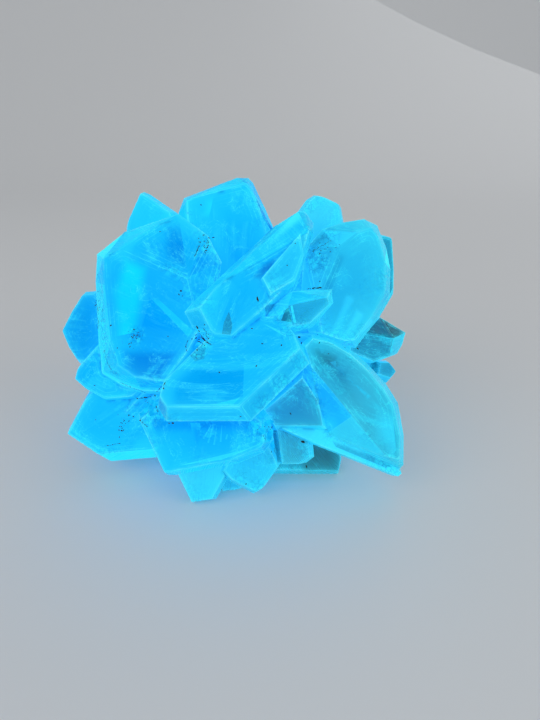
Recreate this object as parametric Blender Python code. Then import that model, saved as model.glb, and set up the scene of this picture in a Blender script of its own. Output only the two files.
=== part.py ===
# Gypsum rosette: flat, bevel-edged blades that radiate from one heart and are grown together into one solid.
# The blades at the front are drawn as outlines seen from the front, in millimetres, and laid on their own planes.
# The blades at the back and underneath are set by the direction in which each one grows.
from collections import namedtuple
from math import cos, radians, sin, tan

import bmesh
import bpy
from mathutils import Matrix, Vector

MM = 0.001
UP = Vector((0.0, 0.0, 1.0))

# The front drawing stands square to a sight line that looks down by SIGHT_DROP.
SIGHT_DROP = radians(25.7)
EYE_DISTANCE = 201.8
EYE = Vector((12.8, -185.0, 131.0))

# The heart from which every blade grows, and how far its solid middle reaches.
HEART = Vector((-3.0, -1.0, 49.0))
HEART_REACH = 26.0
HEART_FLATTENING = 0.9
ROOT_SHARE = 0.5
ROOT_REACH = 12.0

# Tips that reach below this height are worn flat there, and the rosette rests on them.
REST_HEIGHT = 0.0
BIG = 400.0
FLAT_ANGLE = radians(0.2)
MERGE_MM = 0.004

# The spikes bevel over this share of their thickness.
SPIKE_BEVEL = 0.34

GYPSUM_COLOUR = (0.05, 0.62, 0.95, 1.0)
GYPSUM_ROUGHNESS = 0.22
GYPSUM_IOR = 1.52

# rim: the outline at half thickness, seen from the front. depth: how far the blade stands toward the eye at its
# middle. turn and tip: where its face looks, in degrees to the right and upward. bevel: inset of the front face from
# the rim, one width or one for each edge. back: the same behind. face: the front face's own corners instead, where
# they don't follow the rim, each with its height over the rim if that isn't half the thickness.
Blade = namedtuple("Blade", "rim depth turn tip thick bevel back face", defaults=(None,))

# azimuth 0 grows toward the right, 90 away from the front; roll turns the blade about the way it grows.
Spike = namedtuple("Spike", "azimuth elevation reach width thick roll taper")

PEAK = Blade(
    rim=((-51.9, 46.2), (-51.3, 49.3), (-46.8, 59.4), (-45.2, 60.7), (-43.2, 59.8), (-33.1, 52.9), (-28.8, 39.6),
         (-43.2, 30.6), (-51.1, 35.3)),
    depth=-9.0, turn=-8.0, tip=8.0, thick=9.0, bevel=2.2, back=2.2)

LEFT_BIG = Blade(
    rim=((-62.5, 38.2), (-52.4, 46.2), (-33.1, 52.9), (-22.3, 45.0), (-17.3, 35.3), (-19.1, 21.6), (-23.4, 5.0),
         (-28.8, -0.7), (-38.5, -10.4), (-46.8, -10.1), (-54.0, -7.6), (-60.1, -4.3), (-61.9, 5.4), (-63.0, 28.1)),
    depth=12.0, turn=-14.0, tip=3.0, thick=13.0, bevel=None, back=3.5,
    face=((-60.1, 36.7), (-52.9, 40.7), (-29.5, 29.9), (-25.9, 10.8), (-29.5, 3.6), (-37.8, -7.9), (-48.6, -6.1),
          (-54.7, -2.2), (-57.6, 7.2), (-59.8, 27.0)))

LEFT_BIG_LEDGE = Blade(
    rim=((-61.6, 14.0), (-60.4, -5.6), (-53.6, -9.6), (-45.4, -12.2), (-36.2, -12.6), (-32.0, -6.0), (-40.0, 6.0),
         (-52.0, 16.0)),
    depth=5.5, turn=-14.0, tip=3.0, thick=5.0, bevel=1.2, back=2.0)

LEFT_MIDDLE = Blade(
    rim=((-66.4, 24.7), (-60.8, 25.2), (-49.7, 14.4), (-57.6, -3.6), (-68.2, -1.6), (-71.6, 3.6), (-74.4, 10.4),
         (-70.6, 18.0)),
    depth=-7.0, turn=-12.0, tip=0.0, thick=9.0, bevel=2.0, back=2.6)

LEFT_SECOND = Blade(
    rim=((-62.3, 5.4), (-66.2, 1.1), (-68.8, -2.2), (-69.9, -6.8), (-65.2, -11.0), (-58.3, -14.8), (-47.9, -13.9),
         (-39.6, -7.2), (-43.2, 7.2), (-55.8, 10.8)),
    depth=0.0, turn=-8.0, tip=-5.0, thick=8.0, bevel=1.4, back=2.4)

LEFT_LOWER = Blade(
    rim=((-65.2, -11.2), (-72.6, -25.2), (-71.6, -27.0), (-57.3, -36.6), (-40.9, -35.2), (-35.3, -25.2),
         (-39.6, -9.0), (-57.6, -4.3)),
    depth=-6.0, turn=-6.0, tip=-8.0, thick=9.0, bevel=(1.5, 1.2, 1.8, 4.5, 2.0, 2.0, 2.0, 2.0), back=2.6)

TOP_CENTRE = Blade(
    rim=((-33.1, 53.1), (-31.1, 58.4), (-11.9, 65.8), (-7.7, 65.7), (-6.0, 63.9), (-2.0, 55.4), (5.0, 39.6),
         (-1.8, 21.6), (-23.4, 21.6), (-31.7, 39.6)),
    depth=-3.0, turn=0.0, tip=8.0, thick=11.0, bevel=None, back=3.0,
    face=((-30.2, 57.6), (-18.0, 59.8), (-8.3, 63.7), (-5.8, 59.8), (-2.9, 52.2), (-0.7, 39.6), (-5.4, 25.2),
          (-20.9, 25.2), (-28.8, 39.6)))

DIAGONAL = Blade(
    rim=((-31.0, 17.3), (-28.4, 20.5), (-21.6, 24.5), (-5.4, 41.5), (1.6, 48.2), (10.1, 53.6), (12.6, 53.6),
         (15.8, 49.4), (15.9, 45.7), (9.4, 25.6), (-2.0, 14.4), (-13.3, 4.7), (-21.0, 5.4), (-28.1, 11.5)),
    depth=22.0, turn=8.0, tip=15.0, thick=11.0,
    bevel=(4.0, 1.0, 1.6, 1.6, 1.6, 2.0, 2.4, 2.4, 2.0, 2.0, 2.0, 2.0, 2.0, 4.0), back=3.2)

DIAGONAL_LEDGE = Blade(
    rim=((-4.3, 27.7), (4.0, 37.4), (10.4, 44.6), (11.9, 35.3), (8.6, 26.3), (-0.7, 20.9)),
    depth=23.0, turn=8.0, tip=15.0, thick=9.8, bevel=0.6, back=2.0)

TOP_RIGHT = Blade(
    rim=((7.2, 49.7), (12.9, 57.7), (15.7, 59.5), (19.0, 58.9), (24.6, 56.3), (25.7, 54.9), (26.6, 49.7),
         (27.4, 35.3), (12.6, 32.4)),
    depth=-10.0, turn=6.0, tip=8.0, thick=8.0, bevel=2.0, back=2.4)

RIGHT_BIG = Blade(
    rim=((12.2, 39.6), (18.7, 47.2), (26.6, 49.8), (34.0, 51.0), (38.7, 48.6), (42.1, 40.3), (43.6, 32.4),
         (43.2, 23.4), (39.2, 15.1), (30.8, 4.1), (24.5, 5.0), (13.7, 10.1), (10.8, 21.6)),
    depth=6.0, turn=14.0, tip=2.0, thick=11.0, bevel=None, back=3.2,
    face=((24.5, 41.0), (31.3, 46.1), (36.7, 47.5), (39.2, 44.3), (41.4, 35.3), (41.6, 25.2), (37.1, 16.6),
          (30.6, 7.2), (27.0, 6.8), (18.7, 9.7), (16.6, 21.6)))

RIGHT_THIN = Blade(
    rim=((32.4, 46.1), (40.5, 45.2), (43.4, 44.3), (44.0, 43.2), (44.6, 32.4), (44.5, 23.8), (41.9, 20.2),
         (39.4, 15.1), (30.6, 14.4)),
    depth=-11.0, turn=12.0, tip=0.0, thick=5.0, bevel=1.2, back=1.2)

CLEAR_UPPER = Blade(
    rim=((39.8, 15.5), (49.0, 9.9), (47.8, 5.6), (45.9, 2.2), (36.4, -1.3), (27.0, 2.9), (28.8, 15.1)),
    depth=-10.0, turn=24.0, tip=14.0, thick=12.0, bevel=None, back=2.0,
    face=((34.6, 9.7), (44.6, 7.9), (42.8, 1.1), (37.4, -0.4), (28.8, 2.9), (29.5, 9.7)))

CLEAR_LOWER = Blade(
    rim=((36.4, 0.0), (41.8, 0.0), (43.6, -2.2), (45.1, -4.7), (41.8, -8.5), (35.3, -6.5)),
    depth=-12.0, turn=26.0, tip=10.0, thick=9.0, bevel=(1.6, 2.6, 2.6, 2.0, 1.4, 1.4), back=1.6)

SMALL_UPPER = Blade(
    rim=((-2.0, 20.2), (8.3, 25.0), (22.4, 25.6), (23.0, 20.5), (15.3, 11.5), (5.8, 9.4), (-2.6, 14.4)),
    depth=25.0, turn=-4.0, tip=12.0, thick=9.0, bevel=None, back=2.0,
    face=((6.5, 19.7), (20.7, 22.7), (21.4, 20.2), (14.4, 13.3), (8.1, 12.2), (4.1, 19.1, 2.8), (1.5, 11.8, 2.4)))

DOMINANT = Blade(
    rim=((-40.6, -17.2), (-37.4, -22.3), (-6.8, -22.2), (14.4, -1.3), (11.2, 5.9), (5.4, 13.7), (-13.7, 13.7),
         (-23.1, 5.8), (-28.8, 0.0), (-38.5, -10.1)),
    depth=32.0, turn=0.0, tip=34.0, thick=11.0,
    bevel=(1.6, 1.8, 3.6, 2.4, 2.0, 2.0, 2.0, 1.6, 1.2, 1.2), back=(4.0, 5.6, 5.0, 3.0, 2.0, 2.0, 2.0, 2.4, 2.4, 3.0))

RIGHT_LOWER = Blade(
    rim=((11.2, 6.1), (15.1, 9.2), (21.6, 7.9), (28.8, 4.0), (34.9, -0.9), (42.1, -8.7), (46.3, -15.5),
         (48.3, -27.0), (48.2, -38.0), (46.8, -39.6), (41.8, -36.2), (20.2, -26.6), (17.6, -20.9), (11.9, -6.5)),
    depth=12.0, turn=12.0, tip=-4.0, thick=15.0, bevel=None, back=3.6,
    face=((12.6, 5.0), (15.5, 7.9), (21.6, 6.5), (28.4, 2.5), (33.8, -2.2), (40.7, -10.1), (44.6, -16.6),
          (46.8, -27.4), (46.6, -36.0), (41.8, -34.9), (29.5, -20.2), (14.8, -2.2)))

RIGHT_LOWER_FOOT = Blade(
    rim=((2.2, -24.5), (16.2, -30.8), (44.4, -42.0), (47.2, -39.6), (39.6, -28.8), (21.6, -16.2), (7.2, -12.6),
         (-0.7, -18.7)),
    depth=7.5, turn=12.0, tip=-4.0, thick=9.0, bevel=(1.0, 1.0, 1.0, 1.4, 1.4, 1.4, 1.4, 1.4), back=2.6)

RIGHT_LOWER_SIDE = Blade(
    rim=((-2.9, -17.3), (11.9, -4.3), (18.7, -14.4), (20.9, -25.2), (2.2, -25.2)),
    depth=13.5, turn=-4.0, tip=-6.0, thick=9.0, bevel=(0.8, 0.8, 1.2, 2.4, 1.2), back=2.0)

FRONT_LOWER = Blade(
    rim=((-47.5, -19.1), (-36.7, -41.5), (-33.7, -41.6), (-10.8, -37.2), (-1.9, -33.3), (1.4, -28.8), (0.0, -19.8),
         (-10.8, -12.6), (-39.6, -12.6)),
    depth=19.0, turn=-3.0, tip=-8.0, thick=12.0, bevel=(1.4, 1.6, 3.4, 3.6, 2.6, 2.6, 2.0, 2.0, 2.0), back=3.2)

BOTTOM_LEFT = Blade(
    rim=((-35.3, -36.7), (-28.2, -51.3), (-19.3, -50.0), (-14.4, -41.0), (-17.3, -28.8), (-30.6, -28.8)),
    depth=4.6, turn=-4.0, tip=-4.0, thick=8.0, bevel=1.3, back=1.8)

BOTTOM_RIGHT = Blade(
    rim=((-19.4, -39.2), (-15.5, -43.4), (-5.9, -48.2), (-2.3, -46.0), (3.8, -37.4), (-0.4, -28.8), (-13.7, -28.8)),
    depth=4.0, turn=14.0, tip=-4.0, thick=8.0, bevel=1.6, back=1.8)

BOTTOM_BEHIND = Blade(
    rim=((-20.2, -39.6), (-17.3, -47.6), (-10.8, -46.8), (-2.9, -40.3), (-2.9, -32.4), (-16.2, -32.4)),
    depth=-3.0, turn=4.0, tip=0.0, thick=5.0, bevel=1.0, back=1.0)

SQUARE = Blade(
    rim=((0.7, -25.2), (2.5, -37.2), (13.1, -37.2), (16.1, -34.9), (15.7, -30.6), (14.4, -23.4), (1.8, -21.6)),
    depth=6.0, turn=6.0, tip=-6.0, thick=9.0, bevel=(1.4, 1.0, 2.6, 2.6, 1.6, 1.0, 1.0), back=1.0)

BOTTOM_BACK = Blade(
    rim=((-2.9, -41.0), (24.5, -41.4), (25.9, -35.3), (24.5, -28.8), (0.0, -25.2)),
    depth=-12.0, turn=4.0, tip=10.0, thick=10.0, bevel=(1.6, 1.2, 1.4, 1.4, 1.4), back=2.6)

FRONT_BLADES = (
    PEAK, LEFT_BIG, LEFT_BIG_LEDGE, LEFT_MIDDLE, LEFT_SECOND, LEFT_LOWER, TOP_CENTRE, DIAGONAL, DIAGONAL_LEDGE,
    TOP_RIGHT, RIGHT_BIG, RIGHT_THIN, CLEAR_UPPER, CLEAR_LOWER, SMALL_UPPER, DOMINANT, RIGHT_LOWER,
    RIGHT_LOWER_FOOT, RIGHT_LOWER_SIDE, FRONT_LOWER, BOTTOM_LEFT, BOTTOM_RIGHT, BOTTOM_BEHIND, SQUARE, BOTTOM_BACK)

# Blades at the back, at the sides and underneath, where the front drawing doesn't reach.
SPIKES = (
    Spike(azimuth=146.0, elevation=30.0, reach=52.0, width=42.0, thick=10.0, roll=62.0, taper=0.62),
    Spike(azimuth=116.0, elevation=14.0, reach=56.0, width=50.0, thick=11.0, roll=14.0, taper=0.55),
    Spike(azimuth=84.0, elevation=34.0, reach=52.0, width=46.0, thick=10.0, roll=-38.0, taper=0.60),
    Spike(azimuth=62.0, elevation=6.0, reach=57.0, width=48.0, thick=12.0, roll=78.0, taper=0.50),
    Spike(azimuth=38.0, elevation=22.0, reach=52.0, width=38.0, thick=9.0, roll=24.0, taper=0.58),
    Spike(azimuth=96.0, elevation=-14.0, reach=58.0, width=46.0, thick=10.0, roll=40.0, taper=0.62),
    Spike(azimuth=138.0, elevation=-18.0, reach=57.0, width=40.0, thick=11.0, roll=-58.0, taper=0.48),
    Spike(azimuth=156.0, elevation=2.0, reach=52.0, width=34.0, thick=10.0, roll=20.0, taper=0.56),
    Spike(azimuth=22.0, elevation=-8.0, reach=50.0, width=38.0, thick=10.0, roll=-30.0, taper=0.60),
    Spike(azimuth=104.0, elevation=48.0, reach=50.0, width=30.0, thick=9.0, roll=10.0, taper=0.55),
    Spike(azimuth=60.0, elevation=42.0, reach=48.0, width=26.0, thick=8.0, roll=66.0, taper=0.55),
    Spike(azimuth=62.0, elevation=-44.0, reach=72.0, width=36.0, thick=10.0, roll=68.0, taper=0.50),
    Spike(azimuth=126.0, elevation=-44.0, reach=72.0, width=38.0, thick=11.0, roll=12.0, taper=0.52),
    Spike(azimuth=184.0, elevation=-42.0, reach=54.0, width=30.0, thick=10.0, roll=74.0, taper=0.50),
    Spike(azimuth=86.0, elevation=-70.0, reach=56.0, width=34.0, thick=11.0, roll=-20.0, taper=0.60),
    Spike(azimuth=4.0, elevation=-34.0, reach=46.0, width=28.0, thick=9.0, roll=50.0, taper=0.55),
)
SMALL_SPIKES = (
    Spike(azimuth=130.0, elevation=22.0, reach=55.0, width=16.0, thick=6.0, roll=-50.0, taper=0.40),
    Spike(azimuth=100.0, elevation=4.0, reach=60.0, width=20.0, thick=6.0, roll=84.0, taper=0.45),
    Spike(azimuth=74.0, elevation=22.0, reach=57.0, width=18.0, thick=6.0, roll=30.0, taper=0.50),
    Spike(azimuth=44.0, elevation=2.0, reach=57.0, width=18.0, thick=7.0, roll=-62.0, taper=0.40),
    Spike(azimuth=78.0, elevation=-30.0, reach=58.0, width=18.0, thick=6.0, roll=-12.0, taper=0.50),
    Spike(azimuth=112.0, elevation=-34.0, reach=57.0, width=16.0, thick=6.0, roll=70.0, taper=0.45),
    Spike(azimuth=150.0, elevation=-34.0, reach=54.0, width=20.0, thick=7.0, roll=-24.0, taper=0.50),
    Spike(azimuth=36.0, elevation=-28.0, reach=52.0, width=18.0, thick=6.0, roll=16.0, taper=0.45),
    Spike(azimuth=128.0, elevation=44.0, reach=52.0, width=14.0, thick=6.0, roll=40.0, taper=0.45),
    Spike(azimuth=84.0, elevation=56.0, reach=49.0, width=14.0, thick=5.0, roll=-30.0, taper=0.50),
)
# On each large spike the middle of both faces stands a step higher, as the last layer of growth.
STEP_REACH = 0.86
STEP_WIDTH = 0.70
STEP_THICK = 1.22


def clear_objects():
    for old in list(bpy.data.objects):
        bpy.data.objects.remove(old, do_unlink=True)


def front_axes():
    """Right, up and toward-the-eye directions of the front drawing."""
    right = Vector((1.0, 0.0, 0.0))
    up = Vector((0.0, sin(SIGHT_DROP), cos(SIGHT_DROP)))
    toward = Vector((0.0, -cos(SIGHT_DROP), sin(SIGHT_DROP)))
    return right, up, toward


def sight_line(u, v):
    """The direction from the eye through a point of the front drawing."""
    right, up, toward = front_axes()
    return (right * u + up * v - toward * EYE_DISTANCE).normalized()


def seen_on_plane(u, v, point, normal):
    """Where the sight line through a point of the drawing meets a plane."""
    line = sight_line(u, v)
    return EYE + line * ((point - EYE).dot(normal) / line.dot(normal))


def blade_plane(blade):
    """The middle of the blade's rim and the direction in which its face looks."""
    right, up, toward = front_axes()
    mid_u = sum(u for u, v in blade.rim) / len(blade.rim)
    mid_v = sum(v for u, v in blade.rim) / len(blade.rim)
    line = sight_line(mid_u, mid_v)
    point = EYE + line * ((EYE_DISTANCE - blade.depth) / -line.dot(toward))
    normal = (toward + right * tan(radians(blade.turn)) + up * tan(radians(blade.tip))).normalized()
    return point, normal


def clipped(polygon, point, inward):
    """The part of a flat convex polygon on the inward side of a line through the point."""
    kept = []
    for here, there in zip(polygon, polygon[1:] + polygon[:1]):
        side_here = (here - point).dot(inward)
        side_there = (there - point).dot(inward)
        if side_here >= 0.0:
            kept.append(here)
        if side_here * side_there < 0.0:
            kept.append(here.lerp(there, side_here / (side_here - side_there)))
    return kept


def inset_outline(rim, normal, bevel):
    """The rim with each edge moved inward, in its own plane, by its own bevel width."""
    middle = sum(rim, Vector()) / len(rim)
    widths = bevel if isinstance(bevel, tuple) else [bevel] * len(rim)
    inner = list(rim)
    for here, there, width in zip(rim, rim[1:] + rim[:1], widths):
        inward = normal.cross(there - here).normalized()
        if inward.dot(middle - here) < 0.0:
            inward = -inward
        inner = clipped(inner, here + inward * width, inward)
    return inner


def convex_crystal(name, points):
    """A closed crystal with flat faces around the given points, in millimetres."""
    shape = bmesh.new()
    for point in points:
        shape.verts.new(point * MM)
    hull = bmesh.ops.convex_hull(shape, input=shape.verts)
    inside = [item for item in hull["geom_interior"] if isinstance(item, bmesh.types.BMVert)]
    bmesh.ops.delete(shape, geom=inside, context="VERTS")
    bmesh.ops.dissolve_limit(shape, angle_limit=FLAT_ANGLE, verts=shape.verts, edges=shape.edges)
    bmesh.ops.recalc_face_normals(shape, faces=shape.faces)
    mesh = bpy.data.meshes.new(name)
    shape.to_mesh(mesh)
    shape.free()
    crystal = bpy.data.objects.new(name, mesh)
    bpy.context.collection.objects.link(crystal)
    return crystal


def front_blade(name, blade):
    """A plate whose rim runs round its middle, bevelled to the front face and to the back face."""
    point, normal = blade_plane(blade)
    half = blade.thick / 2.0
    rim = [seen_on_plane(u, v, point, normal) for u, v in blade.rim]
    if blade.face:
        front_face = []
        for u, v, *lift in blade.face:
            front_face.append(seen_on_plane(u, v, point + normal * (lift[0] if lift else half), normal))
    else:
        front_face = [corner + normal * half for corner in inset_outline(rim, normal, blade.bevel)]
    back_face = [corner - normal * half for corner in inset_outline(rim, normal, blade.back)]
    return convex_crystal(name, rim + front_face + back_face)


def blade_root(name, blade):
    """The narrower part by which a front blade grows out of the heart."""
    point, normal = blade_plane(blade)
    rim = [seen_on_plane(u, v, point, normal) for u, v in blade.rim]
    middle = sum(rim, Vector()) / len(rim)
    blade_end = [middle.lerp(corner, ROOT_SHARE) for corner in rim]
    along = (middle - HEART).normalized()
    side = along.cross(normal).normalized() if abs(along.dot(normal)) < 0.99 else front_axes()[0]
    other = along.cross(side).normalized()
    heart_end = [HEART + (side * across + other * over) * ROOT_REACH for across, over in
                 ((1.0, 0.3), (0.3, 1.0), (-1.0, 0.4), (-0.5, -0.9), (0.7, -0.8))]
    return convex_crystal(name, blade_end + heart_end)


def spike_blade(name, spike):
    """A blade that grows straight out from the heart and ends in a blunt, slightly skewed tip."""
    azimuth = radians(spike.azimuth)
    elevation = radians(spike.elevation)
    along = Vector((cos(azimuth) * cos(elevation), sin(azimuth) * cos(elevation), sin(elevation)))
    level = along.cross(UP).normalized()
    across = Matrix.Rotation(radians(spike.roll), 3, along) @ level
    normal = along.cross(across).normalized()
    outline = (
        (-0.10, -0.55), (0.45, -1.0), (0.80, -0.86), (0.97, -spike.taper), (1.0, 0.18 - spike.taper / 2.0),
        (0.99, spike.taper / 2.0), (0.86, 0.88), (0.50, 1.0), (-0.10, 0.60))
    rim = [HEART + along * far * spike.reach + across * side * spike.width / 2.0 for far, side in outline]
    half = normal * spike.thick / 2.0
    inner = inset_outline(rim, normal, spike.thick * SPIKE_BEVEL)
    return convex_crystal(name, rim + [corner + half for corner in inner] + [corner - half for corner in inner])


def growth_step(spike):
    """The spike that makes the raised middle of a large spike's faces."""
    return spike._replace(
        reach=spike.reach * STEP_REACH, width=spike.width * STEP_WIDTH, thick=spike.thick * STEP_THICK)


def heart_lump():
    """The solid middle where all the blades meet."""
    points = []
    for ring, (height, spread) in enumerate(((-0.85, 0.5), (-0.3, 0.95), (0.3, 0.95), (0.85, 0.5))):
        for step in range(6):
            angle = radians(60.0 * step + 30.0 * ring)
            side = Vector((cos(angle) * spread, sin(angle) * spread * HEART_FLATTENING, height))
            points.append(HEART + side * HEART_REACH)
    return convex_crystal("heart", points)


def apply_boolean(target, other, operation):
    cut = target.modifiers.new(operation.lower(), "BOOLEAN")
    cut.operation = operation
    cut.solver = "EXACT"
    cut.object = other
    depsgraph = bpy.context.evaluated_depsgraph_get()
    joined = bpy.data.meshes.new_from_object(target.evaluated_get(depsgraph))
    target.modifiers.remove(cut)
    old = target.data
    target.data = joined
    bpy.data.meshes.remove(old)
    bpy.data.objects.remove(other, do_unlink=True)


def space_below_rest():
    """All the space below the height on which the rosette rests."""
    corners = [Vector((x, y, z)) for x in (-BIG, BIG) for y in (-BIG, BIG) for z in (REST_HEIGHT - BIG, REST_HEIGHT)]
    return convex_crystal("below", corners)


def made_clean(target):
    """Merges corners that coincide, makes flat faces whole, and cuts them into triangles."""
    shape = bmesh.new()
    shape.from_mesh(target.data)
    bmesh.ops.remove_doubles(shape, verts=shape.verts, dist=MERGE_MM * MM)
    bmesh.ops.dissolve_limit(shape, angle_limit=FLAT_ANGLE / 4.0, verts=shape.verts, edges=shape.edges)
    bmesh.ops.triangulate(shape, faces=shape.faces)
    shape.to_mesh(target.data)
    shape.free()


def without_hollows(target):
    """Keeps the outer skin only, so that pockets closed in between the blades are solid."""
    shape = bmesh.new()
    shape.from_mesh(target.data)
    skins = []
    waiting = set(shape.verts)
    while waiting:
        skin = {waiting.pop()}
        edge_of_skin = list(skin)
        while edge_of_skin:
            corner = edge_of_skin.pop()
            for edge in corner.link_edges:
                other = edge.other_vert(corner)
                if other in waiting:
                    waiting.remove(other)
                    skin.add(other)
                    edge_of_skin.append(other)
        skins.append(skin)
    skins.sort(key=len)
    for skin in skins[:-1]:
        bmesh.ops.delete(shape, geom=list(skin), context="VERTS")
    shape.to_mesh(target.data)
    shape.free()


def moved_to_origin(target):
    """Puts the origin under the middle of the rosette, at the height on which it rests."""
    low = Vector([min(vertex.co[axis] for vertex in target.data.vertices) for axis in range(3)])
    high = Vector([max(vertex.co[axis] for vertex in target.data.vertices) for axis in range(3)])
    target.data.transform(Matrix.Translation((-(low.x + high.x) / 2.0, -(low.y + high.y) / 2.0, -low.z)))


def gypsum_material():
    material = bpy.data.materials.new("gypsum")
    material.use_nodes = True
    surface = material.node_tree.nodes["Principled BSDF"]
    surface.inputs["Base Color"].default_value = GYPSUM_COLOUR
    surface.inputs["Roughness"].default_value = GYPSUM_ROUGHNESS
    surface.inputs["Metallic"].default_value = 0.0
    surface.inputs["IOR"].default_value = GYPSUM_IOR
    return material


def build_rosette():
    crystals = [front_blade("front_%02d" % order, blade) for order, blade in enumerate(FRONT_BLADES)]
    crystals += [blade_root("root_%02d" % order, blade) for order, blade in enumerate(FRONT_BLADES)]
    spikes = SPIKES + tuple(growth_step(spike) for spike in SPIKES) + SMALL_SPIKES
    crystals += [spike_blade("spike_%02d" % order, spike) for order, spike in enumerate(spikes)]
    rosette = heart_lump()
    for crystal in crystals:
        apply_boolean(rosette, crystal, "UNION")
    apply_boolean(rosette, space_below_rest(), "DIFFERENCE")
    made_clean(rosette)
    without_hollows(rosette)
    moved_to_origin(rosette)
    rosette.name = "gypsum_rosette"
    rosette.data.name = "gypsum_rosette"
    rosette.data.materials.clear()
    rosette.data.materials.append(gypsum_material())
    return rosette


clear_objects()
build_rosette()
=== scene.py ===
"""The looks of a gypsum rosette that glows azure under ultraviolet light.

The CAD solid gives every blade its place. Here the solid's skin is refined, its ledges, worn rims
and growth steps are cut, and each face gets its own tint, streaks and veils. Clay specks and small
crystals sit in the joints between the blades.
"""

import math

import bmesh
import bpy
import numpy as np
from mathutils import Matrix, Vector, noise
from mathutils.bvhtree import BVHTree
from mathutils.kdtree import KDTree


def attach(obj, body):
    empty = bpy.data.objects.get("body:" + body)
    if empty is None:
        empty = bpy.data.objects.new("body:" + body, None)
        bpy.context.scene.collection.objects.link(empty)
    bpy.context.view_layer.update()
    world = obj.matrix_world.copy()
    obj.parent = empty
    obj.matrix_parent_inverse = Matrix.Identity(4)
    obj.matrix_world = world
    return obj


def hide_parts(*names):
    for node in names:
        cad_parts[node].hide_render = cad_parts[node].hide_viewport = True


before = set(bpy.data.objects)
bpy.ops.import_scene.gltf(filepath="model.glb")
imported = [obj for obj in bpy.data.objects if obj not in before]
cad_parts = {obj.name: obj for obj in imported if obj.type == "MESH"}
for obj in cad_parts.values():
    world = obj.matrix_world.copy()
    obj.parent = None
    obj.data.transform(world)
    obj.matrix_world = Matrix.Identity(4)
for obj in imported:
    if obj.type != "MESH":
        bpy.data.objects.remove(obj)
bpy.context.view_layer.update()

MM = 0.001

# The camera stands where the photograph was taken from.
EYE = Vector((12.46, -189.02, 131.0)) * MM
EYE_DROP = math.radians(25.7)
PICTURE_WIDTH = 540
PICTURE_HEIGHT = 720
PICTURE_DISTANCE = 560.0
SENSOR_WIDTH = 36
NEAREST_SEEN = 10 * MM
RIGHT = Vector((1, 0, 0))
UPWARD = Vector((0, math.sin(EYE_DROP), math.cos(EYE_DROP)))
FORWARD = Vector((0, math.cos(EYE_DROP), -math.sin(EYE_DROP)))
# What one point of the picture spans at the crystal, in millimetres.
PICTURE_POINT = 0.37

# The blades grow outwards from here.
HEART = Vector((-3.3, -5.0, 49.0)) * MM

# How fine the skin gets, and which angles between faces count as flat, rounded or sharp.
SAME_POINT = 0.001 * MM
LONGEST_EDGE = 1.62 * MM
MOST_HALVINGS = 9
FLAT_ANGLE = math.radians(0.4)
SHARP_ANGLE = math.radians(11)
ROUNDED_ANGLE = math.radians(14)
FULL_BEND = math.radians(75)

# The relief of the skin. Distances without MM are in millimetres.
RIM_WEAR = 0.16 * MM
RIM_CHIPS = 0.22 * MM
CHIP_SIZE = 2.2 * MM
PLAIN_RIM = (0.3, 1.4)
STEP_HEIGHT = 0.09 * MM
STEP_SPACING = 2.6
STEP_SWAY = 0.7
STEP_RISE = (0.6, 1.0)
MOST_STEPS = 2
SWELL_SIZE = 9 * MM
WAVE_HEIGHT = 0.006 * MM
WAVE_SIZE = 3.5 * MM
ETCH_DEPTH = 0.16 * MM
ETCH_SIZE = 1.7 * MM
ETCH_CORE = 0.35
LEDGE_DEPTH = 0.18 * MM
LEDGE_EDGE_GAP = 0.6

# Growth lines fan out from a point this far behind the heart, or run across the blade.
FAN_SETBACK = 38 * MM
FAN_LINES = 60
CROSS_LINES = (1.6, 34)
LINE_LAYERS = 60

# The sizes of the glow's uneven fields.
BROAD_MOOD = 19 * MM
PATCHY_MOOD = 6.5 * MM
CELLS_PER_METRE = 62
CELL_BLUR = 9

# Tints of the glow, as linear red, green and blue.
AZURE_DEEP = (0.001, 0.3, 0.78)
AZURE = (0.002, 0.41, 0.88)
SKY = (0.007, 0.52, 0.94)
CYAN = (0.012, 0.66, 0.97)
BRIGHT_CYAN = (0.024, 0.88, 1.0)
PALE_CYAN = (0.04, 0.62, 0.84)
SOFT_CYAN = (0.026, 0.54, 0.8)
DULL_CYAN = (0.032, 0.41, 0.61)
GREY_BLUE = (0.014, 0.27, 0.46)
GREY_TEAL = (0.016, 0.24, 0.38)
DARK_TEAL = (0.005, 0.075, 0.12)
GREEN_TEAL = (0.045, 0.38, 0.46)
RIM_CYAN = (0.018, 0.72, 1.0)
RIDGE_CYAN = (0.03, 0.72, 1.0)
FEATHER_CYAN = (0.02, 0.64, 0.98)
STREAK_CYAN = (0.04, 0.68, 0.95)
SHADED_AZURE = (0.001, 0.36, 0.84)

# Shades that darken the glow of a face where they lie over it: some are the crystal's own deeper tones,
# some are painted shade.
DEEP_TONE_AND_SHADE = (0.4, 0.76, 0.93, 1)
THICK_SHADE = (0.35, 0.8, 0.96, 1)
INNER_SHADE = (0.45, 0.78, 0.93, 1)
GRAIN_SHADE = (0.5, 0.7, 0.85, 1)
PAINTED_JOINT_SHADE = (0.35, 0.52, 0.7, 1)
CRACK_SHADE = (0.25, 0.42, 0.62, 1)
CLEAR_SHADE = (0.5, 0.4, 0.36, 1)
BODY_SHADE = (0.8, 0.8, 0.84, 1)
# Lights that are mixed into the glow of a face; the halo and the crisp one are painted highlights along the
# rims.
INNER_LIGHT = (0.024, 0.78, 1.0, 1)
VEIL_LIGHT = (0.028, 0.76, 1.0, 1)
LINE_LIGHT = (0.04, 0.8, 1.0, 1)
WISP_LIGHT = (0.06, 0.86, 1.0, 1)
HALO_LIGHT = (0.04, 0.82, 1.0, 1)
RIPPLE_LIGHT = (0.06, 0.88, 1.0, 1)
CRISP_LIGHT = (0.13, 0.95, 1.0, 1)
CELL_LIGHT = (0.03, 0.86, 1.0, 1)

# How the streaks' fields are stretched: across the growth lines, along them, and from face to face.
VEIL_STRETCH = (0.075, 0.04, 1.0)
WISP_STRETCH = (0.16, 0.1, 1.0)
LINE_STRETCH = (0.85, 0.04, 1.0)
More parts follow.
